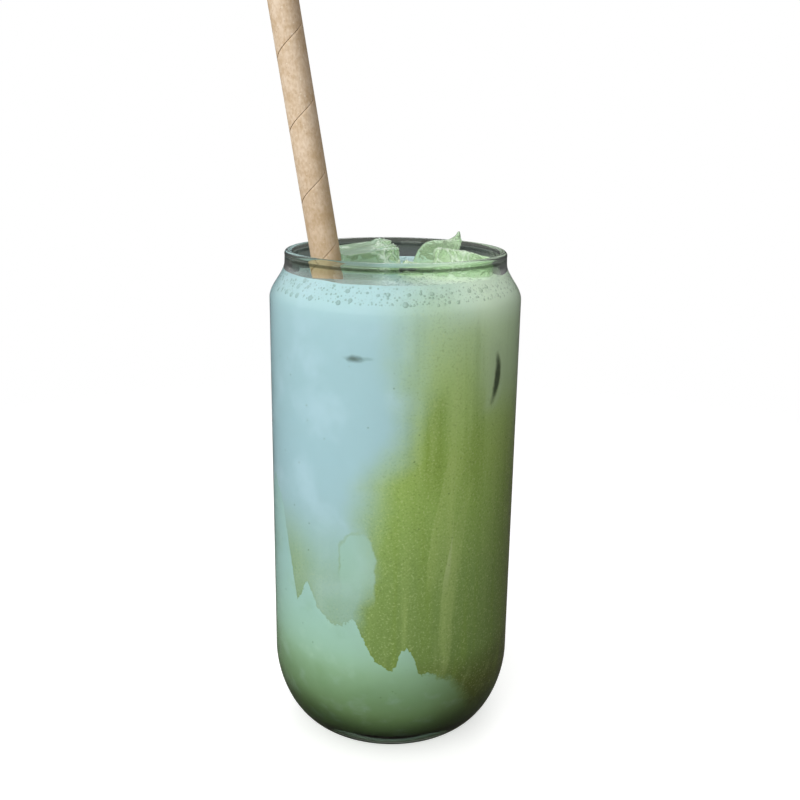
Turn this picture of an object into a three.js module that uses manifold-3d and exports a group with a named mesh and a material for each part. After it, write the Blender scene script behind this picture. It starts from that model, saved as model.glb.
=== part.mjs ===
// An iced matcha latte: a tall can-shaped glass with milk, matcha, a bubbly top, ice and a paper straw.
// Millimetres, +Z up. The origin is the middle of the flat face that the glass stands on.

import * as THREE from "three";
import { ConvexGeometry } from "three/addons/geometries/ConvexGeometry.js";
import { mergeVertices } from "three/addons/utils/BufferGeometryUtils.js";
import Module from "manifold-3d";

// Glass
const GLASS_HEIGHT = 151;
const BODY_RADIUS = 38; // where the wall meets the shoulder
const LOWER_RADIUS = 37.7; // where the wall meets the base curve
const BASE_RADIUS = 25.7; // of the flat face it stands on
const BASE_CURVE_HEIGHT = 22;
const BASE_CURVE_POWER = 1.76; // 2 would be an ellipse
const NECK_RADIUS = 33.4;
const NECK_BOTTOM = 147.4;
const SHOULDER_HEIGHT = 10.6;
const LIP_BEAD_RADIUS = 1.2;
const LIP_BEAD_TUCK = 0.1 * Math.PI; // how far the bead curls in below its widest
const WALL = 2.3;
const FLOOR = 4.6;
const FLOOR_RADIUS = 13;
const INSIDE_CURVE_TOP = 33;

// Drink
const LEVEL = 144.6; // of the top of the bubbles
const FOAM_DEPTH = 5;
const CLEARANCE = 0.3; // between a piece and the one that is cut round it

// Straw
const STRAW_RADIUS = 4.25;
const STRAW_WALL = 0.45;
const STRAW_LENGTH = 228;
const STRAW_LEAN = THREE.MathUtils.degToRad(9.25); // to the left, -X
const STRAW_FOOT = new THREE.Vector3(2.88, -15.6, 9.97); // the middle of its lower end

// Smoothness
const ROUND_STEPS = 56;
const STRAW_STEPS = 24;
const CURVE_STEPS = 9;
const LIP_STEPS = 12;

const SHOULDER_BOTTOM = NECK_BOTTOM - SHOULDER_HEIGHT;
const FOAM_BOTTOM = LEVEL - FOAM_DEPTH;

const wasm = await Module();
wasm.setup();

// Booleans

// A closed geometry as a solid: equal corners shared, and the flat triangles at a lathe's poles dropped.
function toSolid(geometry) {
  const bare = geometry.clone();
  bare.deleteAttribute("normal");
  bare.deleteAttribute("uv");
  const merged = mergeVertices(bare, 1e-4);
  const corners = merged.index.array;
  const kept = [];
  for (let i = 0; i < corners.length; i += 3) {
    const [a, b, c] = corners.slice(i, i + 3);
    if (a !== b && b !== c && c !== a) {
      kept.push(a, b, c);
    }
  }
  const vertProperties = new Float32Array(merged.attributes.position.array);
  const triVerts = new Uint32Array(kept);
  return new wasm.Manifold(new wasm.Mesh({ numProp: 3, vertProperties, triVerts }));
}

function toGeometry(solid) {
  const mesh = solid.getMesh();
  const geometry = new THREE.BufferGeometry();
  geometry.setAttribute("position", new THREE.BufferAttribute(mesh.vertProperties, 3));
  geometry.setIndex(new THREE.BufferAttribute(mesh.triVerts, 1));
  geometry.computeVertexNormals();
  return geometry;
}

function cutAll(solid, cutters) {
  return cutters.reduce((rest, cutter) => rest.subtract(cutter), solid);
}

// Round pieces

// A profile of [radius, height] pairs turned about +Z.
function turned(profile, steps) {
  const points = profile.map(([radius, height]) => new THREE.Vector2(radius, height));
  return new THREE.LatheGeometry(points, steps).rotateX(Math.PI / 2);
}

// Whole steps from first to last, both included.
function spread(first, last, steps) {
  return Array.from({ length: steps + 1 }, (_, i) => THREE.MathUtils.lerp(first, last, i / steps));
}

// The outside radius of the wall and the shoulder at a height above the base curve.
function wallRadius(height) {
  const along = THREE.MathUtils.mapLinear(height, BASE_CURVE_HEIGHT, SHOULDER_BOTTOM, 0, 1);
  const straight = THREE.MathUtils.lerp(LOWER_RADIUS, BODY_RADIUS, Math.min(along, 1));
  const narrowed = THREE.MathUtils.smoothstep(height, SHOULDER_BOTTOM, NECK_BOTTOM);
  return THREE.MathUtils.lerp(straight, NECK_RADIUS, narrowed);
}

function insideRadius(height) {
  return wallRadius(height) - WALL;
}

// The rounded foot of the glass, from its flat face up to where the wall is straight.
function baseCurve(foot, top) {
  const power = 2 / BASE_CURVE_POWER;
  return spread(0, Math.PI / 2, CURVE_STEPS).map((angle) => [
    THREE.MathUtils.lerp(foot.radius, top.radius, Math.sin(angle) ** power),
    THREE.MathUtils.lerp(top.height, foot.height, Math.max(Math.cos(angle), 0) ** power),
  ]);
}

// The inside of the glass from the middle of its floor up to a height, drawn in by a gap.
function insideProfile(height, gap) {
  const curve = baseCurve(
    { radius: FLOOR_RADIUS - gap, height: FLOOR + gap },
    { radius: insideRadius(INSIDE_CURVE_TOP) - gap, height: INSIDE_CURVE_TOP },
  );
  const upper = spread(Math.min(SHOULDER_BOTTOM, height), height, CURVE_STEPS);
  const heights = height > SHOULDER_BOTTOM ? upper : [height];
  return [[0, FLOOR + gap], ...curve, ...heights.map((z) => [insideRadius(z) - gap, z])];
}

function glass() {
  const flatFace = { radius: BASE_RADIUS, height: 0 };
  const foot = baseCurve(flatFace, { radius: LOWER_RADIUS, height: BASE_CURVE_HEIGHT });
  const shoulder = spread(SHOULDER_BOTTOM, NECK_BOTTOM, CURVE_STEPS).map((z) => [wallRadius(z), z]);
  const beadMiddle = [NECK_RADIUS - LIP_BEAD_RADIUS, GLASS_HEIGHT - LIP_BEAD_RADIUS];
  const bead = spread(-LIP_BEAD_TUCK, Math.PI + LIP_BEAD_TUCK, LIP_STEPS).map((angle) => [
    beadMiddle[0] + LIP_BEAD_RADIUS * Math.cos(angle),
    beadMiddle[1] + LIP_BEAD_RADIUS * Math.sin(angle),
  ]);
  const inside = insideProfile(NECK_BOTTOM, 0).reverse();
  return turned([[0, 0], ...foot, ...shoulder, ...bead, ...inside], ROUND_STEPS);
}

// Straw

function strawPlace() {
  const turn = new THREE.Quaternion().setFromAxisAngle(new THREE.Vector3(0, 1, 0), -STRAW_LEAN);
  return new THREE.Matrix4().compose(STRAW_FOOT, turn, new THREE.Vector3(1, 1, 1));
}

function straw() {
  const bore = STRAW_RADIUS - STRAW_WALL;
  const ring = [
    [bore, 0],
    [STRAW_RADIUS, 0],
    [STRAW_RADIUS, STRAW_LENGTH],
    [bore, STRAW_LENGTH],
    [bore, 0],
  ];
  return turned(ring, STRAW_STEPS).applyMatrix4(strawPlace());
}

// The room that the straw takes up in the drink.
function strawSleeve() {
  const radius = STRAW_RADIUS + CLEARANCE;
  const rod = [
    [0, -CLEARANCE],
    [radius, -CLEARANCE],
    [radius, STRAW_LENGTH],
    [0, STRAW_LENGTH],
  ];
  return turned(rod, STRAW_STEPS).applyMatrix4(strawPlace());
}

// Ice

// Numbers from 0 to 1 in an order that the seed fixes.
function seededRandom(seed) {
  let state = seed;
  return () => {
    state = (state * 16807) % 2147483647;
    return state / 2147483647;
  };
}

// A half-melted ice cube: a box whose corners are each cut back along the three edges by an uneven amount.
const EDGE_LEFT = { least: 0.55, spread: 0.3 }; // share of an edge that a cut corner leaves
const FACE_LEFT = { least: 0.92, spread: 0.08 }; // share of a face's place that melting leaves

function iceBlock({ size, middle, turn, seed }, grow) {
  const random = seededRandom(seed);
  const points = [];
  for (let corner = 0; corner < 8; corner += 1) {
    const side = [corner & 1, corner & 2, corner & 4].map((bit) => (bit ? 0.5 : -0.5));
    for (let edge = 0; edge < 3; edge += 1) {
      const cutBack = EDGE_LEFT.least + EDGE_LEFT.spread * random();
      const shares = side.map((half, axis) => {
        const left = axis === edge ? cutBack : FACE_LEFT.least + FACE_LEFT.spread * random();
        return half * left;
      });
      points.push(new THREE.Vector3(...shares.map((share, axis) => share * size[axis])));
    }
  }
  points.forEach((point) => point.setLength(point.length() + grow));
  const turns = new THREE.Euler(...turn.map(THREE.MathUtils.degToRad));
  const place = new THREE.Matrix4().makeRotationFromEuler(turns).setPosition(...middle);
  return new ConvexGeometry(points).applyMatrix4(place);
}

const ICE_BLOCKS = {
  ice_left: { size: [18, 15, 17], middle: [-9, 9.5, 142.3], turn: [8, -4, 16], seed: 11 },
  ice_right: { size: [17, 14, 16], middle: [20.2, -2.5, 142.6], turn: [-8, 7, -14], seed: 29 },
  ice_chip: { size: [6, 3.6, 4.4], middle: [4.6, -2.6, 144.9], turn: [14, 20, 20], seed: 5 },
};

// A broken sliver of ice that stands on its edge in the drink, with one corner drawn out to a sharp tip.
const SHARD_MIDDLE = 12.9; // of its width, along X
const SHARD_BACK = 14.2; // its far face, along Y
const SHARD_THICKNESS = 3.4;
const SHARD_BEVEL = 0.8;

function iceShard(grow) {
  const outline = new THREE.Shape();
  outline.moveTo(-5.5, -8);
  outline.lineTo(-7.2, 1);
  outline.quadraticCurveTo(-5.6, 6.4, -1.2, 7.4);
  outline.quadraticCurveTo(2.6, 7.2, 4.6, 7.8);
  outline.lineTo(6.6, 10);
  outline.lineTo(7, 7.4);
  outline.quadraticCurveTo(6.2, 2.6, 2.4, 0.6);
  outline.lineTo(1.6, -8);
  outline.closePath();
  const geometry = new THREE.ExtrudeGeometry(outline, {
    depth: SHARD_THICKNESS + 2 * grow,
    bevelSize: SHARD_BEVEL + grow,
    bevelThickness: SHARD_BEVEL,
    bevelOffset: -SHARD_BEVEL / 2,
    bevelSegments: 1,
    curveSegments: 5,
  });
  return geometry.rotateX(Math.PI / 2).translate(SHARD_MIDDLE, SHARD_BACK + grow, LEVEL);
}

// Drink

// A closed outline of anticlockwise corners, drawn in on all sides by a gap.
function drawnIn(corners, gap) {
  return corners.map((corner, i) => {
    const before = corners.at(i - 1);
    const after = corners[(i + 1) % corners.length];
    const [first, second] = [corner.clone().sub(before), after.clone().sub(corner)].map((edge) =>
      new THREE.Vector2(-edge.y, edge.x).normalize(),
    );
    const reach = gap / (1 + first.dot(second));
    return corner.clone().addScaledVector(first.add(second), reach);
  });
}

// The matcha poured in at the right: the line where it meets the milk, drawn in the XZ plane
// and carried through the glass, with the ragged lower edge where it runs down into the milk.
function matchaRegion(gap) {
  const beyond = BODY_RADIUS + 5;
  const corners = [
    [5.5, LEVEL],
    [4.5, 131],
    [3, 114],
    [0.5, 97],
    [-5, 85],
    [-9, 79],
    [-16, 75.5],
    [-32.5, 74],
    [-28.5, 47],
    [-25, 55],
    [-17, 44],
    [-13.5, 44],
    [-10.8, 47],
    [-0.5, 30],
    [4.5, 39],
    [9, 28.5],
    [12, 29.5],
    [21, 22],
    [beyond, 14],
    [beyond, LEVEL],
  ].map(([x, z]) => new THREE.Vector2(x, z));
  const outline = new THREE.Shape(drawnIn(corners, gap));
  const slab = new THREE.ExtrudeGeometry(outline, { depth: 2 * beyond, bevelEnabled: false });
  return slab.rotateX(Math.PI / 2).translate(0, beyond, 0);
}

const drinkBody = toSolid(turned([...insideProfile(FOAM_BOTTOM, CLEARANCE), [0, FOAM_BOTTOM]], ROUND_STEPS));
const foamHeights = spread(FOAM_BOTTOM + CLEARANCE, LEVEL, CURVE_STEPS);
const foamRim = foamHeights.map((z) => [insideRadius(z) - CLEARANCE, z]);
const foamBody = toSolid(turned([[0, FOAM_BOTTOM + CLEARANCE], ...foamRim, [0, LEVEL]], ROUND_STEPS));

const sunkPieces = [
  strawSleeve(),
  iceShard(CLEARANCE),
  ...Object.values(ICE_BLOCKS).map((block) => iceBlock(block, 2 * CLEARANCE)),
].map(toSolid);

const milk = cutAll(drinkBody, [toSolid(matchaRegion(0)), ...sunkPieces]);
const matcha = cutAll(drinkBody.intersect(toSolid(matchaRegion(CLEARANCE))), sunkPieces);
const foam = cutAll(foamBody, sunkPieces);

// Assembly

const latte = new THREE.Group();
latte.name = "iced_matcha_latte";

function place(name, geometry, finish) {
  const mesh = new THREE.Mesh(geometry, new THREE.MeshStandardMaterial(finish));
  mesh.name = name;
  latte.add(mesh);
}

const ICE_FINISH = { color: 0xc9dcc4, roughness: 0.12, metalness: 0, transparent: true, opacity: 0.6 };

place("glass", glass(), { color: 0xdfe8e2, roughness: 0.04, metalness: 0, transparent: true, opacity: 0.3 });
place("milk", toGeometry(milk), { color: 0xb2d3d6, roughness: 0.35, metalness: 0 });
place("matcha", toGeometry(matcha), { color: 0x7c914c, roughness: 0.4, metalness: 0 });
place("foam", toGeometry(foam), { color: 0xb7d6c4, roughness: 0.6, metalness: 0 });
for (const [name, block] of Object.entries(ICE_BLOCKS)) {
  place(name, iceBlock(block, 0), ICE_FINISH);
}
place("ice_shard", iceShard(0), ICE_FINISH);
place("straw", straw(), { color: 0xd8c2a4, roughness: 0.85, metalness: 0 });

export default latte;
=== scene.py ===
import math

import bmesh
import bpy
from mathutils import Matrix, Vector, noise
from mathutils.bvhtree import BVHTree


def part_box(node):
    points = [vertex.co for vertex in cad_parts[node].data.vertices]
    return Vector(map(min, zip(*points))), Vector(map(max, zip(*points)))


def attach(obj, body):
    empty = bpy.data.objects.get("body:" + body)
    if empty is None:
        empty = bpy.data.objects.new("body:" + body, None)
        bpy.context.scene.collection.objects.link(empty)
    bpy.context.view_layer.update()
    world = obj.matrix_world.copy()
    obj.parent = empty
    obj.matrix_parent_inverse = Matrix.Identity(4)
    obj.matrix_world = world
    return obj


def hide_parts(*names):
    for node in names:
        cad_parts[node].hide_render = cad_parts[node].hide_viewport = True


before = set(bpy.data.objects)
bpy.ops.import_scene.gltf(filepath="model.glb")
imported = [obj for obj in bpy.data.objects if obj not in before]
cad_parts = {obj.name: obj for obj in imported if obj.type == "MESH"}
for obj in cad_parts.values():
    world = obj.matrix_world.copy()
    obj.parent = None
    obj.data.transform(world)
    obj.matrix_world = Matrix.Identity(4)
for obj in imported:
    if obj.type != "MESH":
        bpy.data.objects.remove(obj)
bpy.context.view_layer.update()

MM = 0.001

# The glass is one piece of clear soda-lime glass in the form of a drinks can: a thick rounded foot, a
# straight wall, a sloping shoulder and a fire-polished bead round the mouth.
# It is turned from one closed outline, and stands free on its flat underside.
BODY_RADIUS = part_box("glass")[1].x
LIP_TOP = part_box("glass")[1].z
LOWER_RADIUS = BODY_RADIUS - 0.3 * MM
FOOT_RADIUS = 25.7 * MM
FOOT_HEIGHT = 22 * MM
FOOT_POWER = 1.76
NECK_RADIUS = 33.4 * MM
NECK_BOTTOM = 147.4 * MM
SHOULDER_BOTTOM = 136.8 * MM
BEAD_RADIUS = 1.2 * MM
BEAD_TUCK = 0.1 * math.pi
GLASS_WALL = 2.3 * MM
GLASS_FLOOR = 4.6 * MM
FLOOR_RADIUS = 13 * MM
INSIDE_FOOT_TOP = 33 * MM
ROUND_STEPS = 144
GLASS_TINT = (0.965, 0.98, 0.97, 1)
# A dark tint for thick glass, partly its own and partly painted shade.
THICK_AND_SHADED_TINT = (0.2, 0.24, 0.19, 1)
LIP_TINT = (0.78, 0.88, 0.77, 1)


def smooth(value, low, high):
    """0 below low, 1 above high, and an easy rise between them."""
    along = min(max((value - low) / (high - low), 0.0), 1.0)
    return along * along * (3 - 2 * along)


def spread(first, last, steps):
    """Even steps from first to last, both included."""
    return [first + (last - first) * step / steps for step in range(steps + 1)]


def wall_radius(height):
    """The outside of the glass above its rounded foot."""
    along = min((height - FOOT_HEIGHT) / (SHOULDER_BOTTOM - FOOT_HEIGHT), 1.0)
    straight = LOWER_RADIUS + (BODY_RADIUS - LOWER_RADIUS) * along
    return straight + (NECK_RADIUS - straight) * smooth(height, SHOULDER_BOTTOM, NECK_BOTTOM)


def foot_curve(foot_radius, foot_height, top_radius, top_height, steps):
    """A rounded foot as (radius, height) pairs, from the flat face up to the straight wall."""
    power = 2 / FOOT_POWER
    curve = []
    for angle in spread(0, math.pi / 2, steps):
        outwards = math.sin(angle) ** power
        downwards = max(math.cos(angle), 0.0) ** power
        radius = foot_radius + (top_radius - foot_radius) * outwards
        curve.append((radius, top_height + (foot_height - top_height) * downwards))
    return curve


def inside_outline(top, reach):
    """The inside of the glass from the middle of its floor up to a height, let into it by a reach."""
    foot_top = wall_radius(INSIDE_FOOT_TOP) - GLASS_WALL + reach
    outline = [(0.0, GLASS_FLOOR - reach)]
    outline += foot_curve(FLOOR_RADIUS, GLASS_FLOOR - reach, foot_top, INSIDE_FOOT_TOP, 28)
    straight = spread(INSIDE_FOOT_TOP, min(SHOULDER_BOTTOM, top), 24)[1:]
    sloping = spread(SHOULDER_BOTTOM, top, 14)[1:] if top > SHOULDER_BOTTOM else []
    return outline + [(wall_radius(height) - GLASS_WALL + reach, height) for height in straight + sloping]


def add_piece(name, corners, faces, sharp=40):
    """A mesh piece with its place in its corners, smooth but for edges that turn by more than an angle."""
    mesh = bpy.data.meshes.new(name)
    mesh.from_pydata(corners, [], faces)
    mesh.validate()
    mesh.polygons.foreach_set("use_smooth", [True] * len(mesh.polygons))
    mesh.set_sharp_from_angle(angle=math.radians(sharp))
    piece = bpy.data.objects.new(name, mesh)
    bpy.context.scene.collection.objects.link(piece)
    return piece


def between_rings(rings):
    """The faces between each ring of corners and the next, with triangles where a ring is one corner."""
    faces = []
    for lower, upper in zip(rings, rings[1:]):
        for step in range(len(lower)):
            after = (step + 1) % len(lower)
            face = [lower[step], lower[after], upper[after], upper[step]]
            faces.append(list(dict.fromkeys(face)))
    return faces


def turned(name, outline, steps=ROUND_STEPS):
    """A piece turned about Z from (radius, height) pairs that run anticlockwise round its section."""
    corners = []
    rings = []
    for radius, height in outline:
        count = steps if radius > 0 else 1
        rings.append([len(corners) + step % count for step in range(steps)])
        for step in range(count):
            angle = 2 * math.pi * step / steps
            corners.append((radius * math.cos(angle), radius * math.sin(angle), height))
    return add_piece(name, corners, between_rings(rings))


class Wire:
    """A socket in a node tree. Arithmetic on wires adds Math nodes, and node() adds any other kind."""

    def __init__(self, tree, socket=None):
        self.tree = tree
        self.socket = socket

    def node(self, kind, settings=None, values=None, output=0):
        made = self.tree.nodes.new(kind)
        for name, value in (settings or {}).items():
            setattr(made, name, value)
        for name, value in (values or {}).items():
            if isinstance(value, Wire):
                self.tree.links.new(value.socket, made.inputs[name])
            else:
                made.inputs[name].default_value = value
        return Wire(self.tree, made.outputs[output] if made.outputs else None)

    def beside(self, output):
        return Wire(self.tree, self.socket.node.outputs[output])

    def math(self, operation, first, second=0.0):
        return self.node("ShaderNodeMath", {"operation": operation}, {0: first, 1: second})

    def __add__(self, other):
        return self.math("ADD", self, other)

    def __radd__(self, other):
        return self.math("ADD", other, self)

    def __sub__(self, other):
        return self.math("SUBTRACT", self, other)

    def __rsub__(self, other):
        return self.math("SUBTRACT", other, self)

    def __mul__(self, other):
        return self.math("MULTIPLY", self, other)

    def __rmul__(self, other):
        return self.math("MULTIPLY", other, self)

    def __truediv__(self, other):
        return self.math("DIVIDE", self, other)

    def __rtruediv__(self, other):
        return self.math("DIVIDE", other, self)

    def __pow__(self, other):
        return self.math("POWER", self, other)

    def __neg__(self):
        return self.math("MULTIPLY", self, -1.0)

    def least(self, other):
        return self.math("MINIMUM", self, other)

    def most(self, other):
        return self.math("MAXIMUM", self, other)

    def rise(self, low, high):
        ends = {"Value": self, "From Min": low, "From Max": high}
        return self.node("ShaderNodeMapRange", {"interpolation_type": "SMOOTHSTEP"}, ends)

    def stretched(self, factors):
        return self.node("ShaderNodeVectorMath", {"operation": "MULTIPLY"}, {0: self, 1: factors})

    def cloud(self, size, detail=2.0):
        ends = {"Vector": self, "Scale": 1 / size, "Detail": detail}
        return self.node("ShaderNodeTexNoise", None, ends, "Fac") - 0.5

    def cells(self, size, feature="F1"):
        ends = {"Vector": self, "Scale": 1 / size}
        return self.node("ShaderNodeTexVoronoi", {"feature": feature}, ends, "Distance")

    def mixed(self, other, share):
        ends = {0: share, 6: self, 7: other}
        return self.node("ShaderNodeMix", {"data_type": "RGBA"}, ends, 2)


def new_material(name):
    """A node material with nothing in it but its output, and a wire to build on."""
    material = bpy.data.materials.new(name)
    material.use_nodes = True
    material.node_tree.nodes.clear()
    return material, Wire(material.node_tree)


def show(look, shader):
    """Makes a shader the material's surface."""
    look.node("ShaderNodeOutputMaterial", None, {"Surface": shader})


def lets_light_through(look, shader, tint):
    """A see-through shader that lamps shine through, tinted, instead of casting a full shadow."""
    through = look.node("ShaderNodeBsdfTransparent", None, {"Color": tint})
    towards_lamp = look.node("ShaderNodeLightPath", None, None, "Is Shadow Ray")
    return look.node("ShaderNodeMixShader", None, {0: towards_lamp, 1: shader, 2: through})


bead_radius = NECK_RADIUS - BEAD_RADIUS
bead_height = LIP_TOP - BEAD_RADIUS
glass_outline = [(0.0, 0.0)]
glass_outline += foot_curve(FOOT_RADIUS, 0.0, LOWER_RADIUS, FOOT_HEIGHT, 32)
glass_outline += [(wall_radius(height), height) for height in spread(FOOT_HEIGHT, SHOULDER_BOTTOM, 24)[1:]]
glass_outline += [(wall_radius(height), height) for height in spread(SHOULDER_BOTTOM, NECK_BOTTOM, 20)[1:]]
for angle in spread(-BEAD_TUCK, math.pi + BEAD_TUCK, 28):
    radius = bead_radius + BEAD_RADIUS * math.cos(angle)
    glass_outline.append((radius, bead_height + BEAD_RADIUS * math.sin(angle)))
glass_outline += reversed(inside_outline(NECK_BOTTOM, 0.0))
glass = turned("drinks_glass", glass_outline)

glass_material, look = new_material("clear_glass")
place = look.node("ShaderNodeTexCoord", None, None, "Object")
wiped = place.cloud(14 * MM, 4.0) + place.cloud(2 * MM, 2.0) * 0.5
waves = look.node("ShaderNodeBump", None, {
    "Strength": 0.05,
    "Distance": 0.4 * MM,
    "Height": place.cloud(16 * MM),
})
height = look.node("ShaderNodeSeparateXYZ", None, {0: place}, "Z") / MM
lip_share = {0: height.rise(145, 149), 6: GLASS_TINT, 7: LIP_TINT}
tint_by_height = look.node("ShaderNodeMix", {"data_type": "RGBA"}, lip_share, 2)
clear, thick_and_shaded_glass = [
    look.node("ShaderNodeBsdfPrincipled", None, {
        "Base Color": tint,
        "Roughness": wiped.rise(-0.1, 0.5) * 0.04,
        "IOR": 1.5,
        "Specular IOR Level": gloss,
        "Transmission Weight": 1.0,
        "Normal": waves,
    })
    for tint, gloss in ((tint_by_height, 0.5), (THICK_AND_SHADED_TINT, 0.2))
]
# The glass takes the dark tint low on the foot where it is seen edge-on, across its floor, and in a thin
# line round the bead. This is partly the tint of thick glass and partly painted shade standing in for the
# dark room seen through it.
edge_on = look.node("ShaderNodeLayerWeight", None, {"Blend": 0.5}, "Facing")
thick_and_shaded = (edge_on.rise(0.25, 0.58) * height.rise(23, 11)).most(height.rise(5.5, 3.5))
thick_and_shaded = thick_and_shaded.most(height.rise(148.3, 148.6) * height.rise(149.5, 149.2) * 0.8)
body = look.node("ShaderNodeMixShader", None, {0: thick_and_shaded, 1: clear, 2: thick_and_shaded_glass})
show(look, lets_light_through(look, body, GLASS_TINT))
glass.data.materials.append(glass_material)
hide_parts("glass")
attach(glass, "root")

# The drink is cold milk with green matcha poured in at the right, which sinks and spreads in veils and
# ends in a ragged lower edge. It fills the glass up to the bubbles and is let a little into its wall.
# Its pattern is laid out by the way round the glass from the front and by height, both in millimetres.
FOAM_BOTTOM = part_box("foam")[0].z
WALL_REACH = 0.15 * MM
ROUND_LENGTH = (BODY_RADIUS - GLASS_WALL) / MM
# The tones run darker towards the bottom of the glass. This is partly more tea lower down and partly
# painted shade where less light reaches the lower drink.
MILK_TONES = [
    (60, "a0bfba"), (78, "a4c2c8"), (95, "a6c5cc"), (120, "a8c7cd"), (134, "abcad0"), (140, "b0d0d3"),
]
LOW_TONES = [
    (7, "7d9e65"), (12, "82a36c"), (20, "8aae80"), (28, "95b894"),
    (36, "9fc2ae"), (46, "a4c7bc"), (60, "a5c7c3"),
]
MATCHA_TONES = [
    (20, "646f33"), (34, "778e4e"), (60, "859d59"), (82, "97b062"),
    (95, "a0b767"), (118, "a9c07a"), (138, "b4ca99"),
]
VEIL_COLOUR = "b3c47c"
DEEP_COLOUR = "819a45"
SHADE_COLOUR = "6a6d33"
MARK_COLOUR = "38462e"
LOWER_EDGE = [
    (-112.2, 66), (-104, 58), (-96, 70), (-88, 62), (-78, 75), (-70, 68), (-60, 82), (-52, 74),
    (-46, 84), (-39, 75.1), (-34, 57), (-31.6, 46.8), (-27.1, 54.9), (-24.7, 51.2), (-23, 47.9),
    (-20.3, 45.8),
    (-17.8, 43.7), (-14.4, 43.5), (-14.1, 44.8), (-10.7, 46.6), (-8.9, 42.6), (-7.1, 38.6), (-4.5, 33.6),
    (-2.3, 32.1), (-0.1, 30.3), (1.6, 32.8), (3, 37.1), (4.6, 38.3), (6.7, 35), (7.9, 30.6), (9.3, 28.5),
    (11.8, 29.2), (14.2, 27.4), (18.6, 25.6), (22.5, 21), (27, 16), (32, 11), (40, 9),
    (50, 14), (58, 18), (66, 30),
    (72, 24), (82, 40), (90, 33), (98, 52), (106, 46), (112.2, 66),
]
LEFT_EDGE = [
    (38, -14), (46, -12), (54, -8.5), (66, -6), (78, -8.5), (88, -6.2), (96, 0), (105, 4.5), (114, 4.5),
    (131, 3), (145, 3),
]
LEFT_SOFTNESS = [(40, 5), (66, 5), (78, 9), (96, 9), (105, 8), (120, 11)]
STRENGTH = [(100, 1), (114, 0.97), (123, 0.9), (132, 0.77), (138, 0.62), (143, 0.36)]
WEDGE_EDGE = [(46.8, -31.6), (57, -34), (75.1, -39)]


def colour(code):
    """The linear colour of an sRGB hex code, with full alpha."""
    parts = [int(code[start:start + 2], 16) / 255 for start in (0, 2, 4)]
    linear = [part / 12.92 if part < 0.04045 else ((part + 0.055) / 1.055) ** 2.4 for part in parts]
    return (*linear, 1.0)


def broken_line(along, points):
    """The height of a line of straight stretches through points, level before and after them."""
    slopes = [0.0] + [(b[1] - a[1]) / (b[0] - a[0]) for a, b in zip(points, points[1:])] + [0.0]
    height = points[0][1]
    for (start, _), before, after in zip(points, slopes, slopes[1:]):
        height = (along - start).most(0.0) * (after - before) + height
    return height


def tones(along, stops):
    """A colour that runs through hex codes at places along a line."""
    codes = [(start, colour(code)) for start, code in stops]
    parts = {}
    for index, name in enumerate(("Red", "Green", "Blue")):
        parts[name] = broken_line(along, [(start, tone[index]) for start, tone in codes])
    return along.node("ShaderNodeCombineColor", None, parts)


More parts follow.
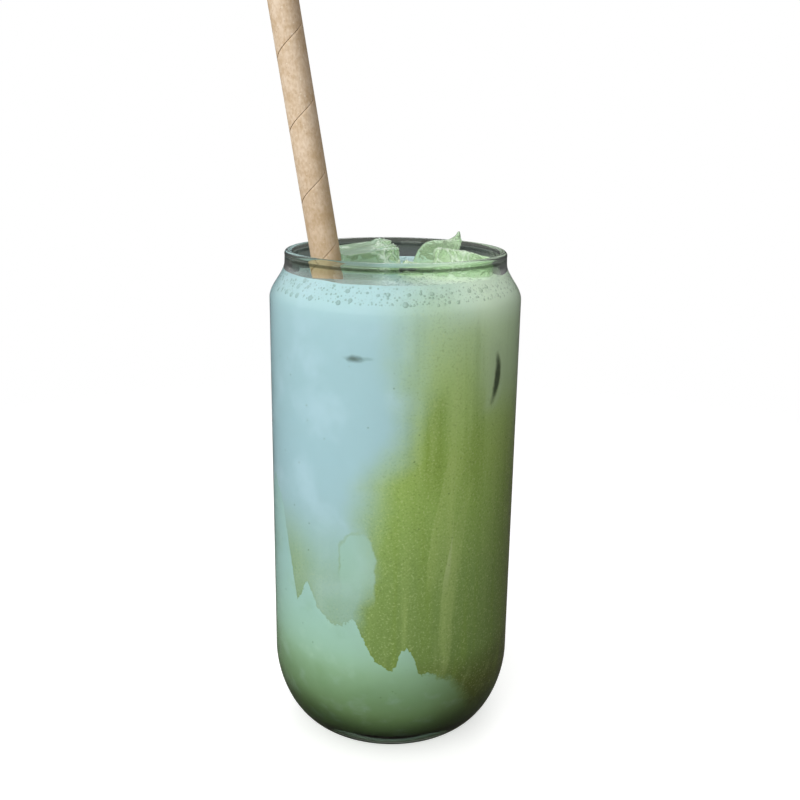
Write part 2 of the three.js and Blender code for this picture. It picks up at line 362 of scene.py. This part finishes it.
def lay_out_drink(look, place):
    """The drink's colour at a place on its skin."""
    x = look.node("ShaderNodeSeparateXYZ", None, {0: place}, "X")
    y = look.node("ShaderNodeSeparateXYZ", None, {0: place}, "Y")
    height = look.node("ShaderNodeSeparateXYZ", None, {0: place}, "Z") / MM
    round_way = look.math("ARCTAN2", x, -y) * ROUND_LENGTH

    # Matcha against milk: soft on the left, weaker near the top, fading out again round the back.
    drift = place.cloud(16 * MM, 3.0)
    marbling = drift * 9 + place.cloud(5 * MM, 4.0) * 3
    left = (round_way - broken_line(height, LEFT_EDGE) + marbling) / broken_line(height, LEFT_SOFTNESS)
    back = (round_way + drift * 30).rise(108, 84)
    pale_corner = round_way.rise(20, 32) * round_way.rise(70, 45) * height.rise(102, 120)
    pale_top = round_way.rise(10, 24) * height.rise(130, 140)
    poured = left.rise(-1, 1) * back * broken_line(height, STRENGTH)
    poured = poured * (1 - pale_corner * 0.65) * (1 - pale_top * 0.85)

    # The thin wash on the left, its wedge at the far left, and the pale drop that stands in it.
    teeth = place.cloud(1.8 * MM, 4.0) * 4.0
    fine_teeth = place.cloud(0.7 * MM, 3.0) * 2.4
    edge = height - broken_line(round_way, LOWER_EDGE) + teeth + fine_teeth
    wedge_way = round_way - broken_line(height, WEDGE_EDGE)
    wedge = wedge_way.rise(22, 2) * height.rise(82, 56) * round_way.rise(-60, -42)
    wash = height.rise(84, 40) * (0.42 + drift * 0.5)
    arch = ((round_way + 9.9) / 5.2) ** 2.0 + ((height - 66).most(0.0) / 7.4) ** 2.0
    bend = arch ** 0.5 + place.cloud(4 * MM, 3.0) * 0.5
    drop = bend.rise(1.1, 0.9) * height.rise(50, 60)
    rim = bend.rise(1.16, 1.05) * bend.rise(0.94, 1.03) * round_way.rise(-8, -12) * height.rise(58, 64)
    green = poured.most(wash).most(wedge * 0.62) * (1 - drop * 0.7) + rim * 0.3

    # Veils: long slanting streaks, three with a sharp side, and a pale teardrop.
    slant = {"Vector": place, "Rotation": (0.0, 0.16, 0.0), "Scale": (1, 1, 0.07)}
    slanted = look.node("ShaderNodeMapping", None, slant)
    streaks = slanted.cloud(5 * MM, 3.0)
    first_line = [(36, 9.5), (65, 10.1), (74, 11.2), (80, 12.4), (90, 14.4), (96, 15.6)]
    first = round_way - broken_line(height, first_line)
    first_veil = first.rise(-0.15, 0.3) * first.rise(7, 0.3) * height.rise(52, 64) * height.rise(100, 93)
    second = broken_line(height, [(60, 20.6), (68, 21.4), (80, 22.7), (87, 25)]) - round_way
    second_veil = second.rise(-0.15, 0.3) * second.rise(5, 0.3) * height.rise(54, 66) * height.rise(92, 84)
    third = round_way - broken_line(height, [(30, 13.6), (46, 14.2), (59, 15.2), (73, 17.9)])
    third_veil = third.rise(-0.15, 0.3) * third.rise(4.5, 0.3) * height.rise(28, 44) * height.rise(74, 70)
    tear_width = broken_line(height, [(50, 1.6), (61, 1.7), (73, 0.05)])
    tear = (third / tear_width).rise(1.3, 0.7) * third.rise(-0.15, 0.2) * height.rise(52, 64)
    deep_band = (round_way + streaks * 5).rise(7, 10) * round_way.rise(17, 13)
    deep_band = deep_band * height.rise(76, 96) * height.rise(122, 108)

    matcha = tones(height, MATCHA_TONES)
    matcha = matcha.mixed(colour(DEEP_COLOUR), streaks.rise(0.02, -0.25) * 0.5)
    matcha = matcha.mixed(colour(DEEP_COLOUR), deep_band * 0.7)
    matcha = matcha.mixed(colour(VEIL_COLOUR), streaks.rise(0.03, 0.25) * 0.35)
    veils = (first_veil * 0.3).most(second_veil * 0.2).most(third_veil * 0.2)
    matcha = matcha.mixed(colour(VEIL_COLOUR), veils)
    matcha = matcha.mixed(colour("b9c592"), tear * 0.5)
    # Painted shade: the matcha is darkened down the right side, away from the lamp, and more so lower
    # down.
    shade = round_way.rise(24, 58) * round_way.rise(100, 70) * height.rise(114, 82)
    matcha = matcha.mixed(colour(SHADE_COLOUR), shade * 0.5)
    matcha = matcha.mixed(colour("d3dba0"), place.cells(1.5 * MM).rise(0.2, 0.08) * 0.14)

    milk = tones(height, MILK_TONES)
    milk = milk.mixed(colour("c6dfea"), place.cloud(15 * MM, 4.0).rise(-0.05, 0.2) * 0.35)
    cream = tones(height, [(116, "bccfae"), (132, "cbdfbf"), (141, "e2f4de")])
    milk = milk.mixed(cream, (round_way + drift * 8).rise(3, 30) * back)
    milk = milk.mixed(colour("a0c3ac"), drop * 0.5)
    upper = milk.mixed(matcha, green)
    low = tones(height, LOW_TONES)
    low = low.mixed(colour("b9d8c8"), place.cloud(6 * MM, 4.0).rise(0.0, 0.3) * 0.3)
    low = low.mixed(colour("6f9460"), place.cloud(11 * MM, 4.0).rise(0.0, -0.3) * 0.25)
    # Darker olive round the lower right: partly more tea, partly painted shade on the side away from the
    # lamp.
    low = low.mixed(colour("6f7a44"), round_way.rise(6, 30) * round_way.rise(90, 60) * 0.45)
    upper = upper.mixed(colour(DEEP_COLOUR), edge.rise(2.2, 0.1) * 0.22 * green)
    sharpness = 1 / broken_line(round_way, [(9, 0.25), (14, 0.8), (24, 4.5)])
    above = (edge * sharpness).rise(-1, 1)
    mixed = low.mixed(upper, above)

    # Dark marks where ice lies just behind the glass, and specks of tea powder.
    smudge = (((round_way + 11.2) / 3.1) ** 2.0 + ((height - 125) / 1.25) ** 2.0) ** 0.5
    smudge = smudge + place.cloud(2 * MM) * 0.9
    tail = (((round_way + 7.6) / 2.6) ** 2.0 + ((height - 125.2) / 0.7) ** 2.0) ** 0.5
    bow = round_way - 33.4 + ((height - 119.6) / 8.5) ** 2.0 * 2.0
    crescent = ((bow / 1.8) ** 2.0 + ((height - 117) / 8.2) ** 2.0) ** 0.5 + place.cloud(3 * MM, 3.0) * 0.5
    halo = crescent.rise(2.6, 1.2) * height.rise(106, 111) * height.rise(130, 126)
    mixed = mixed.mixed(colour("b4c6a2"), halo * 0.4)
    mixed = mixed.mixed(colour(MARK_COLOUR), smudge.rise(1.15, 0.2) * 0.75)
    mixed = mixed.mixed(colour("6d8a84"), tail.rise(1.1, 0.3) * 0.35)
    mixed = mixed.mixed(colour("26301c"), crescent.rise(1.1, 0.45) * 0.9)
    specks = place.cells(4.2 * MM).rise(0.085, 0.045) * height.rise(132, 118)
    mixed = mixed.mixed(colour("5d6f45"), specks * 0.45)
    grain = place.cloud(0.6 * MM, 3.0)
    powder = green * above
    mixed = mixed.mixed(colour("c3cf92"), grain.rise(0.03, 0.24) * powder * 0.4)
    return mixed.mixed(colour("556a30"), grain.rise(-0.03, -0.24) * powder * 0.34)


drink_pattern = bpy.data.node_groups.new("drink_pattern", "ShaderNodeTree")
drink_pattern.interface.new_socket("Place", in_out="INPUT", socket_type="NodeSocketVector")
drink_pattern.interface.new_socket("Colour", in_out="OUTPUT", socket_type="NodeSocketColor")
pattern = Wire(drink_pattern)
pattern.node("NodeGroupOutput", None, {"Colour": lay_out_drink(pattern, pattern.node("NodeGroupInput"))})


def drink_colour(look, place):
    """The drink's colour at a place, for any material that shows it."""
    return look.node("ShaderNodeGroup", {"node_tree": drink_pattern}, {"Place": place})


drink = turned("drink", inside_outline(FOAM_BOTTOM, WALL_REACH) + [(0.0, FOAM_BOTTOM)])
drink_material, look = new_material("matcha_and_milk")
place = look.node("ShaderNodeTexCoord", None, None, "Object")
show(look, look.node("ShaderNodeBsdfPrincipled", None, {
    "Base Color": drink_colour(look, place),
    "Roughness": 0.35 + place.cloud(3 * MM) * 0.1,
    "Specular IOR Level": 0.15,
}))
drink.data.materials.append(drink_material)
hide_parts("milk", "matcha")
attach(drink, "root")

# The top of the drink is a wet layer of froth, pale blue over the milk and pale green over the matcha.
# It climbs a little at the glass, the straw and the ice, and is let into the wall like the drink.
FOAM_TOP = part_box("foam")[1].z - 0.3 * MM
CLIMB = 0.5 * MM
CLIMB_WIDTH = 0.9 * MM
FOAM_RINGS = 46
standing_in_foam = []
for name in ("straw", "ice_left", "ice_right", "ice_chip", "ice_shard"):
    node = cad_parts[name]
    corners = [node.matrix_world @ corner.co for corner in node.data.vertices]
    faces = [list(face.vertices) for face in node.data.polygons]
    standing_in_foam.append(BVHTree.FromPolygons(corners, faces))


def foam_height(x, y):
    """The height of the froth's top at a place, with its climb against whatever stands in it."""
    wall = wall_radius(FOAM_TOP) - GLASS_WALL - math.hypot(x, y)
    gaps = [max(wall, 0.0)]
    gaps += [tree.find_nearest(Vector((x, y, FOAM_TOP)))[3] for tree in standing_in_foam]
    climb = CLIMB * math.exp(-min(gaps) / CLIMB_WIDTH)
    swell = noise.noise(Vector((x, y, 0.0)) / (9 * MM)) * 0.35 * MM
    ripple = noise.noise(Vector((x, y, 0.02)) / (1.6 * MM)) * 0.05 * MM
    return FOAM_TOP + climb + swell + ripple


foam_corners = []
foam_rings = []


def add_foam_ring(radius, height_at):
    """One ring of the froth's skin, or its one middle corner, at the height that a function gives."""
    count = ROUND_STEPS if radius else 1
    foam_rings.append([len(foam_corners) + step % count for step in range(ROUND_STEPS)])
    for step in range(count):
        angle = 2 * math.pi * step / ROUND_STEPS
        x = radius * math.cos(angle)
        y = radius * math.sin(angle)
        foam_corners.append((x, y, height_at(x, y)))


add_foam_ring(0.0, lambda x, y: FOAM_BOTTOM)
for height in spread(FOAM_BOTTOM, FOAM_TOP, 10):
    add_foam_ring(wall_radius(height) - GLASS_WALL + WALL_REACH, lambda x, y: height)
foam_radius = wall_radius(FOAM_TOP + CLIMB) - GLASS_WALL + WALL_REACH
for ring in range(FOAM_RINGS):
    add_foam_ring(foam_radius * (1 - ring / FOAM_RINGS) ** 0.8, foam_height)
add_foam_ring(0.0, foam_height)
foam = add_piece("froth", foam_corners, between_rings(foam_rings))

foam_material, look = new_material("froth")
place = look.node("ShaderNodeTexCoord", None, None, "Object")
froth = place.cells(1.1 * MM).rise(0.5, 0.1) * 0.5 + place.cells(2.3 * MM).rise(0.4, 0.1) * 0.5
wet = look.node("ShaderNodeBump", None, {"Strength": 0.2, "Distance": 0.3 * MM, "Height": froth})
facing = look.node("ShaderNodeNewGeometry", None, None, "Normal")
level = look.node("ShaderNodeSeparateXYZ", None, {0: facing}, "Z").rise(0.78, 0.95)
sideways = look.node("ShaderNodeSeparateXYZ", None, {0: place}, "X") / MM
# On the left, the top of the froth is smoother and painted darker. This is painted shade plus a painted
# reflection of the dark room, standing in for the shadowed wet surface there.
still_and_shaded = (sideways + place.cloud(9 * MM) * 10).rise(2, -9) * level
skin = drink_colour(look, place).mixed(colour("8fb0a4"), froth * 0.2)
show(look, look.node("ShaderNodeBsdfPrincipled", None, {
    "Base Color": skin.mixed(colour("5c6e62"), still_and_shaded * 0.6),
    "Roughness": 0.3 + froth * 0.2 - still_and_shaded * 0.2,
    "Specular IOR Level": 0.2,
    "Normal": wet,
}))
foam.data.materials.append(foam_material)
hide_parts("foam")
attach(foam, "root")

# Bubbles stand against the glass in a band just under the drink's top and lie on the froth itself, most
# of them tiny and a few as wide as a peppercorn, each a thin film that shows darker than the milk.
BAND_BOTTOM = 139.6 * MM
BAND_TOP = 144 * MM
FINE_SPACING = 0.8 * MM
FINE_SIZES = (0.1 * MM, 0.42 * MM)
LARGE_SPACING = 2.6 * MM
LARGE_SIZES = (0.3 * MM, 0.85 * MM)
TOP_SPACING = 1.5 * MM
TOP_SIZES = (0.15 * MM, 0.7 * MM)

bubble_tree = bpy.data.node_groups.new("bubble_scatter", "GeometryNodeTree")
bubble_inputs = {}
for name, kind in (
    ("Skin", "NodeSocketGeometry"),
    ("Spacing", "NodeSocketFloat"),
    ("Smallest", "NodeSocketFloat"),
    ("Largest", "NodeSocketFloat"),
    ("Flatness", "NodeSocketFloat"),
    ("Seed", "NodeSocketInt"),
    ("Film", "NodeSocketMaterial"),
):
    bubble_inputs[name] = bubble_tree.interface.new_socket(name, in_out="INPUT", socket_type=kind)
bubble_tree.interface.new_socket("Bubbles", in_out="OUTPUT", socket_type="NodeSocketGeometry")
given = Wire(bubble_tree).node("NodeGroupInput", None, None, "Skin")
points = given.node("GeometryNodeDistributePointsOnFaces", {"distribute_method": "POISSON"}, {
    "Mesh": given,
    "Distance Min": given.beside("Spacing"),
    "Density Max": 3.0e6,
    "Seed": given.beside("Seed"),
})
chance = given.node("FunctionNodeRandomValue", None, {"Seed": given.beside("Seed")}, 1)
size = given.beside("Smallest") + (given.beside("Largest") - given.beside("Smallest")) * chance ** 3.0
depth = size * given.beside("Flatness")
form = given.node("ShaderNodeCombineXYZ", None, {"X": size, "Y": size, "Z": depth})
ball = given.node("GeometryNodeMeshUVSphere", None, {"Segments": 10, "Rings": 6, "Radius": 1.0})
scattered = given.node("GeometryNodeInstanceOnPoints", None, {
    "Points": points,
    "Instance": ball,
    "Rotation": points.beside("Rotation"),
    "Scale": form,
})
real = given.node("GeometryNodeRealizeInstances", None, {"Geometry": scattered})
rounded = given.node("GeometryNodeSetShadeSmooth", None, {"Geometry": real})
film = given.beside("Film")
coated = given.node("GeometryNodeSetMaterial", None, {"Geometry": rounded, "Material": film})
given.node("NodeGroupOutput", None, {"Bubbles": coated})


def settle(piece):
    """Turns what a piece's modifiers make into its own mesh."""
    made = piece.evaluated_get(bpy.context.evaluated_depsgraph_get())
    mesh = bpy.data.meshes.new_from_object(made)
    piece.modifiers.clear()
    piece.data = mesh


def scatter_bubbles(skin, spacing, sizes, flatness, seed, film):
    """Turns a skin into the bubbles that lie on it."""
    maker = skin.modifiers.new("bubbles", "NODES")
    maker.node_group = bubble_tree
    values = {"Spacing": spacing, "Smallest": sizes[0], "Largest": sizes[1], "Flatness": flatness}
    values.update({"Seed": seed, "Film": film})
    for name, value in values.items():
        maker[bubble_inputs[name].identifier] = value
    settle(skin)
    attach(skin, "root")


film_material, look = new_material("bubble_film")
place = look.node("ShaderNodeTexCoord", None, None, "Object")
film_shade = drink_colour(look, place).mixed(colour("5f7a66"), 0.34 + place.cloud(5 * MM) * 0.5)
show(look, look.node("ShaderNodeBsdfPrincipled", None, {
    "Base Color": film_shade,
    "Roughness": 0.12 + place.cloud(3 * MM).rise(-0.3, 0.5) * 0.2,
    "Specular IOR Level": 0.5,
}))

band_heights = spread(BAND_BOTTOM, BAND_TOP, 4)
band = [(wall_radius(height) - GLASS_WALL + WALL_REACH, height) for height in band_heights]
fine_bubbles = turned("fine_bubbles", band)
scatter_bubbles(fine_bubbles, FINE_SPACING, FINE_SIZES, 0.4, 4, film_material)
large_bubbles = turned("large_bubbles", band)
scatter_bubbles(large_bubbles, LARGE_SPACING, LARGE_SIZES, 0.3, 7, film_material)


def free_of_pieces(corner):
    """Whether a place on the froth is clear of the straw, the ice, the wall and the smooth left side that
    is painted dark as shade.
    """
    near = min(tree.find_nearest(corner)[3] for tree in standing_in_foam)
    inside = foam_radius - math.hypot(corner.x, corner.y)
    return near > 0.6 * MM and inside > 1.2 * MM and corner.x > 0


open_top = []
for face in foam.data.polygons:
    if face.normal.z > 0.6 and face.center.z > FOAM_TOP - 2 * MM and free_of_pieces(face.center):
        open_top.append(list(face.vertices))
top_bubbles = add_piece("top_bubbles", foam_corners, open_top)
scatter_bubbles(top_bubbles, TOP_SPACING, TOP_SIZES, 0.6, 9, film_material)

# The ice is four broken pieces that float with their tops out of the froth: two blocks, a thin standing
# sliver and a chip. Each is wet and half clear, softened by melting, with white cracks and cloud inside.
MELT = 0.4 * MM
RIDGE = 0.8 * MM
RIDGE_CELL = 4 * MM
LONGEST_EDGE = 0.6 * MM
SPLIT_ROUNDS = 6
ICE_CLOUD = {"ice_left": 0.0, "ice_right": 0.15, "ice_chip": 0.2, "ice_shard": 0.3}
ICE_CRACKED = {"ice_left": (-9, -5), "ice_right": (28, 18), "ice_chip": (0, 4), "ice_shard": (2, 24)}
ICE_TINT = (0.9, 0.96, 0.86, 1)

ice_material, look = new_material("wet_ice")
place = look.node("ShaderNodeTexCoord", None, None, "Object")
frost = look.node("ShaderNodeAttribute", {"attribute_name": "frost"}, None, "Fac")
cloudy = place.cloud(8 * MM, 4.0).rise(-0.05, 0.3)
dents = look.node("ShaderNodeBump", None, {
    "Strength": 0.3,
    "Distance": 0.6 * MM,
    "Height": place.cloud(2.5 * MM, 3.0),
})
clear = look.node("ShaderNodeBsdfPrincipled", None, {
    "Base Color": ICE_TINT,
    "Roughness": 0.04 + cloudy * 0.1,
    "IOR": 1.31,
    "Transmission Weight": 1.0,
    "Normal": dents,
})
white = look.node("ShaderNodeBsdfPrincipled", None, {
    "Base Color": look.node("ShaderNodeMix", {"data_type": "RGBA"}, {
        0: (cloudy * 0.6).most(frost),
        6: colour("9cbf88"),
        7: colour("e6f2e4"),
    }, 2),
    "Roughness": 0.25,
    "Normal": dents,
})
clouded = (frost * 0.85).most(0.3 + cloudy * 0.25)
half_clear = look.node("ShaderNodeMixShader", None, {0: clouded, 1: clear, 2: white})
show(look, lets_light_through(look, half_clear, ICE_TINT))


def ridge_at(corner):
    """How near a place in the ice is to the edge between two cells of broken crystal, from 0 to 1."""
    nearest = noise.voronoi(corner / RIDGE_CELL + noise.noise_vector(corner / (3 * MM)) * 0.25)[0]
    return max(1 - (nearest[1] - nearest[0]) / 0.16, 0.0)


def cracked(name, corner):
    """How broken a piece of ice is at a place: whole at one end, and cracked towards the other."""
    whole, broken = ICE_CRACKED[name]
    share = smooth(corner.x / MM, min(whole, broken), max(whole, broken))
    return share if whole < broken else 1 - share


for name in ("ice_left", "ice_right", "ice_chip", "ice_shard"):
    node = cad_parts[name]
    small = min(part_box(name)[1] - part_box(name)[0])
    form = bmesh.new()
    form.from_mesh(node.data)
    form.transform(node.matrix_world)
    bmesh.ops.remove_doubles(form, verts=form.verts, dist=0.01 * MM)
    bmesh.ops.dissolve_limit(form, angle_limit=math.radians(4), verts=form.verts, edges=form.edges)
    bmesh.ops.bevel(form, geom=form.edges, offset=min(0.5 * MM, small * 0.06), segments=2, profile=0.6,
                    affect="EDGES", clamp_overlap=True)
    for split in range(SPLIT_ROUNDS):
        bmesh.ops.triangulate(form, faces=form.faces)
        long_edges = [edge for edge in form.edges if edge.calc_length() > LONGEST_EDGE]
        if long_edges:
            bmesh.ops.subdivide_edges(form, edges=long_edges, cuts=1)
    bmesh.ops.triangulate(form, faces=form.faces)
    form.normal_update()
    ridges = [ridge_at(corner.co) * cracked(name, corner.co) for corner in form.verts]
    for corner, ridge in zip(form.verts, ridges):
        lump = noise.noise(corner.co / (5 * MM)) * 0.8 + noise.noise(corner.co / (1.8 * MM)) * 0.25
        lift = lump * min(MELT, small * 0.1) + (ridge - 0.3) * min(RIDGE, small * 0.08)
        corner.co += corner.normal * lift
    frost_shares = []
    for corner, ridge in zip(form.verts, ridges):
        frost_shares.append(max(ICE_CLOUD[name] * (0.5 + cracked(name, corner.co)), ridge))
    mesh = bpy.data.meshes.new(name + "_melted")
    form.to_mesh(mesh)
    form.free()
    mesh.attributes.new("frost", "FLOAT", "POINT").data.foreach_set("value", frost_shares)
    mesh.polygons.foreach_set("use_smooth", [True] * len(mesh.polygons))
    mesh.materials.append(ice_material)
    ice = bpy.data.objects.new(name + "_melted", mesh)
    bpy.context.scene.collection.objects.link(ice)
    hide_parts(name)
    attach(ice, "root")

# The straw is a band of brown kraft paper wound in a spiral into a stiff tube, with a fine open seam where
# its edges meet. It leans to the left, from near the floor up past the lip, and is damp where it is wet.
STRAW_RADIUS = 4.25 * MM
STRAW_WALL = 0.45 * MM
STRAW_LENGTH = 228 * MM
STRAW_LEAN = math.radians(9.25)
STRAW_FOOT = Vector((2.88, -15.6, 9.97)) * MM
SEAM_PITCH = 19.6 * MM
SEAM_AT_FRONT = 162.2 * MM
SEAM_WIDTH = 0.22 * MM
SEAM_DEPTH = 0.12 * MM
STRAW_STEPS = 48

seam_share = SEAM_WIDTH / SEAM_PITCH
band_ways = [0.0, seam_share * 0.5, seam_share, seam_share * 2] + spread(0.06, 0.96, 12) + [1 - seam_share]
turns = math.ceil(STRAW_LENGTH / SEAM_PITCH) + 2
columns = turns * STRAW_STEPS
start_height = (SEAM_AT_FRONT % SEAM_PITCH) - 2 * SEAM_PITCH
straw_corners = []
for column in range(columns + 1):
    angle = 2 * math.pi * column / STRAW_STEPS - math.pi / 2
    for way in band_ways:
        radius = STRAW_RADIUS - (SEAM_DEPTH if way in (0.0, band_ways[1]) else 0.0)
        height = start_height + SEAM_PITCH * (column / STRAW_STEPS + way)
        height = min(max(height, 0.0), STRAW_LENGTH)
        straw_corners.append((radius * math.cos(angle), radius * math.sin(angle), height))
rows = len(band_ways)
straw_faces = []
for column in range(columns):
    for row in range(rows):
        low = column * rows + row
        high = low + 1 if row + 1 < rows else (column + STRAW_STEPS) * rows
        if high + rows < len(straw_corners):
            straw_faces.append((low, low + rows, high + rows, high))
straw = add_piece("paper_straw", straw_corners, straw_faces)
form = bmesh.new()
form.from_mesh(straw.data)
bmesh.ops.remove_doubles(form, verts=form.verts, dist=0.002 * MM)
bmesh.ops.dissolve_degenerate(form, edges=form.edges, dist=0.002 * MM)
form.to_mesh(straw.data)
form.free()
thickness = straw.modifiers.new("paper", "SOLIDIFY")
thickness.thickness = STRAW_WALL
thickness.offset = -1.0
settle(straw)
straw.data.transform(Matrix.Translation(STRAW_FOOT) @ Matrix.Rotation(-STRAW_LEAN, 4, "Y"))
straw.data.polygons.foreach_set("use_smooth", [True] * len(straw.data.polygons))
straw.data.set_sharp_from_angle(angle=math.radians(50))

straw_material, look = new_material("kraft_paper")
place = look.node("ShaderNodeTexCoord", None, None, "Object")
along = look.node("ShaderNodeMapping", {"vector_type": "TEXTURE"}, {
    "Vector": place,
    "Location": STRAW_FOOT,
    "Rotation": (0.0, -STRAW_LEAN, 0.0),
})
x = look.node("ShaderNodeSeparateXYZ", None, {0: along}, "X")
y = look.node("ShaderNodeSeparateXYZ", None, {0: along}, "Y")
height = look.node("ShaderNodeSeparateXYZ", None, {0: along}, "Z")
turn = look.math("ARCTAN2", x, -y) / (2 * math.pi)
band_way = look.math("FRACT", (height - SEAM_AT_FRONT) / SEAM_PITCH - turn + 20.0)
seam = band_way.rise(seam_share * 1.4, seam_share * 0.6)
fibres = along.stretched((1, 1, 0.6)).cloud(0.7 * MM, 4.0)
mottle = along.cloud(4 * MM, 4.0)
damp = (height / MM).rise(150, 136)
paper = look.node("ShaderNodeMix", {"data_type": "RGBA"}, {
    0: (fibres * 0.9 + mottle * 0.9).rise(-0.36, 0.36),
    6: colour("d8bb96"),
    7: colour("fbe5cb"),
}, 2)
paper = paper.mixed(colour("a5855c"), along.cells(1.3 * MM).rise(0.16, 0.08) * 0.3)
paper = paper.mixed(colour("fff0d8"), along.cells(1.7 * MM).rise(0.16, 0.07) * 0.75)
# Painted shade: the right side of the straw, away from the lamp, is darker.
paper = paper.mixed(colour("8a6a45"), (x / STRAW_RADIUS).rise(0.1, 1.0) * 0.42)
# Painted shade: the straw darkens from above the rim of the glass downwards.
paper = paper.mixed(colour("a5855c"), (height / MM).rise(178, 152) * 0.3)
paper = paper.mixed(colour("6e5434"), seam * 0.75)
paper = paper.mixed(colour("9a7a55"), damp * 0.6)
rough = look.node("ShaderNodeBump", None, {"Strength": 0.25, "Distance": 0.1 * MM, "Height": fibres})
show(look, look.node("ShaderNodeBsdfPrincipled", None, {
    "Base Color": paper,
    "Roughness": 0.85 - damp * 0.3,
    "Specular IOR Level": 0.25,
    "Normal": rough,
}))
straw.data.materials.append(straw_material)
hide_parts("straw")
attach(straw, "root")

# The stage is a pale round table top that fades into a white background, with a wide soft lamp at the
# upper left front and a darker room for what the glass mirrors and bends, as the photograph shows.
TABLE_RADIUS = 0.6
TABLE_COLOUR = (0.9, 0.9, 0.89, 1)
ROOM_COLOUR = (0.1, 0.095, 0.08, 1)

table = turned("table", [(0.0, -4 * MM), (TABLE_RADIUS, -4 * MM), (TABLE_RADIUS, 0.0), (0.0, 0.0)], 96)
table_material, look = new_material("pale_table")
place = look.node("ShaderNodeTexCoord", None, None, "Object")
reach = look.node("ShaderNodeVectorMath", {"operation": "LENGTH"}, {0: place}, 1)
pale = look.node("ShaderNodeBsdfPrincipled", None, {
    "Base Color": TABLE_COLOUR,
    "Roughness": 0.7,
    "Emission Color": (1, 1, 1, 1),
    "Emission Strength": 0.42,
})
dark = look.node("ShaderNodeBsdfDiffuse", None, {"Color": ROOM_COLOUR})
seen = look.node("ShaderNodeLightPath", None, None, "Is Camera Ray")
top = look.node("ShaderNodeMixShader", None, {0: seen, 1: dark, 2: pale})
beyond = look.node("ShaderNodeBsdfTransparent")
show(look, look.node("ShaderNodeMixShader", None, {0: reach.rise(0.1, 0.45), 1: top, 2: beyond}))
table.data.materials.append(table_material)

world = bpy.data.worlds.new("room")
world.use_nodes = True
world.node_tree.nodes.clear()
bpy.context.scene.world = world
room = Wire(world.node_tree)
way = room.node("ShaderNodeTexCoord", None, None, "Generated")
up = room.node("ShaderNodeSeparateXYZ", None, {0: way}, "Z")
right = room.node("ShaderNodeSeparateXYZ", None, {0: way}, "X")
glow = 0.09 + up.rise(0.0, 0.4) * (0.42 - right * 0.18) + up.rise(0.4, 1.0) * 0.25
seen = room.node("ShaderNodeLightPath", None, None, "Is Camera Ray")
strength = glow * (1 - seen) + seen
light = room.node("ShaderNodeBackground", None, {"Color": (1, 1, 1, 1), "Strength": strength})
room.node("ShaderNodeOutputWorld", None, {"Surface": light})

for name, width, power, spot in (
    ("window", 2.0, 26, (-0.95, -1.25, 0.7)),
    ("fill", 1.6, 4, (1.3, -1.0, 0.6)),
    ("back_strip", 0.5, 2, (0.1, 0.8, 1.0)),
):
    lamp_data = bpy.data.lights.new(name, "AREA")
    lamp_data.shape = "SQUARE"
    lamp_data.size = width
    lamp_data.energy = power
    lamp = bpy.data.objects.new(name, lamp_data)
    lamp.location = spot
    lamp.rotation_euler = (Vector((0.0, 0.0, 0.09)) - lamp.location).to_track_quat("-Z", "Y").to_euler()
    lamp.visible_glossy = name == "back_strip"
    lamp.visible_transmission = name != "back_strip"
    bpy.context.scene.collection.objects.link(lamp)

CAMERA_TILT = math.radians(75.71)
CAMERA_ROLL = 0.013
camera_data = bpy.data.cameras.new("camera")
camera_data.lens = 45
camera_data.sensor_width = 36
camera_data.shift_x = 0.0072
camera_data.shift_y = -0.0265
camera_data.clip_start = 0.01
camera = bpy.data.objects.new("camera", camera_data)
camera.location = (0.0, -0.301035, 0.187357)
camera_turn = Matrix.Rotation(CAMERA_TILT, 3, "X") @ Matrix.Rotation(CAMERA_ROLL, 3, "Z")
camera.rotation_euler = camera_turn.to_euler()
bpy.context.scene.collection.objects.link(camera)
bpy.context.scene.camera = camera
bpy.context.scene.view_settings.view_transform = "Standard"
